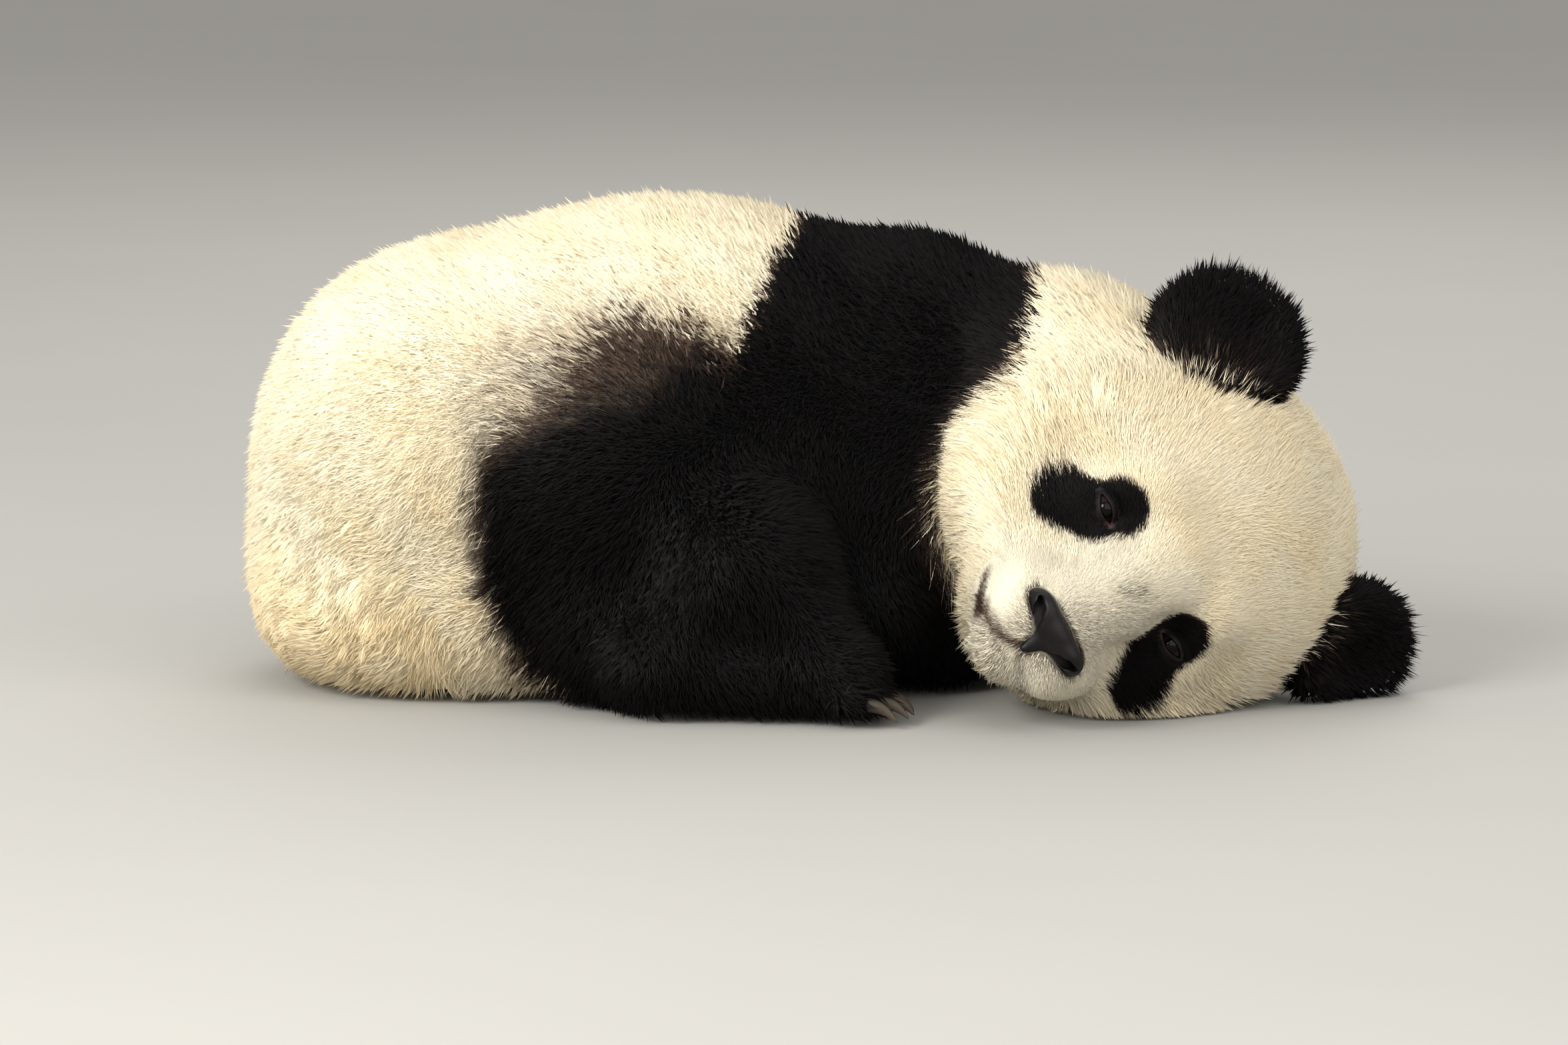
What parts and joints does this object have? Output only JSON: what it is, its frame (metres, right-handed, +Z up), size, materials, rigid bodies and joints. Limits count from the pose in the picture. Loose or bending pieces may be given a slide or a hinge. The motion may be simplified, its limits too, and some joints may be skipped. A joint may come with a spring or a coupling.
{
  "type": "giant panda cub",
  "caption": "Life-size giant panda cub lying on its belly with its head on its left cheek, as a still museum model.",
  "frame": {"origin": "on the floor, under the middle of the model's box", "axes": "+X from the rump towards the crown of the head, -Y the cub's right flank, +Z up"},
  "size_m": [0.6762, 0.4366, 0.2814],
  "materials": {
    "cream_fur": "matte, long soft coat",
    "black_fur": "matte, long soft coat",
    "nose_leather": "moist leather",
    "eye": "wet gloss",
    "claw": "satin horn"
  },
  "bodies": {
    "root": {"head": "cream_fur", "neck": "cream_fur", "trunk": "cream_fur", "tail": "cream_fur", "shoulders": "black_fur", "ear_right": "black_fur", "ear_left": "black_fur", "haunch_right": "black_fur", "haunch_left": "black_fur", "hindfoot_right": "black_fur", "hindfoot_left": "black_fur", "upper_arm_right": "black_fur", "upper_arm_left": "black_fur", "forearm_right": "black_fur", "forearm_left": "black_fur", "nose": "nose_leather", "eye_right": "eye", "eye_left": "eye", "hindclaw_right_1": "claw", "hindclaw_right_2": "claw", "hindclaw_right_3": "claw", "hindclaw_right_4": "claw", "hindclaw_right_5": "claw", "hindclaw_left_1": "claw", "hindclaw_left_2": "claw", "hindclaw_left_3": "claw", "hindclaw_left_4": "claw", "hindclaw_left_5": "claw", "foreclaw_right_1": "claw", "foreclaw_right_2": "claw", "foreclaw_right_3": "claw", "foreclaw_right_4": "claw", "foreclaw_right_5": "claw", "foreclaw_left_1": "claw", "foreclaw_left_2": "claw", "foreclaw_left_3": "claw", "foreclaw_left_4": "claw", "foreclaw_left_5": "claw"}
  },
  "joints": []
}
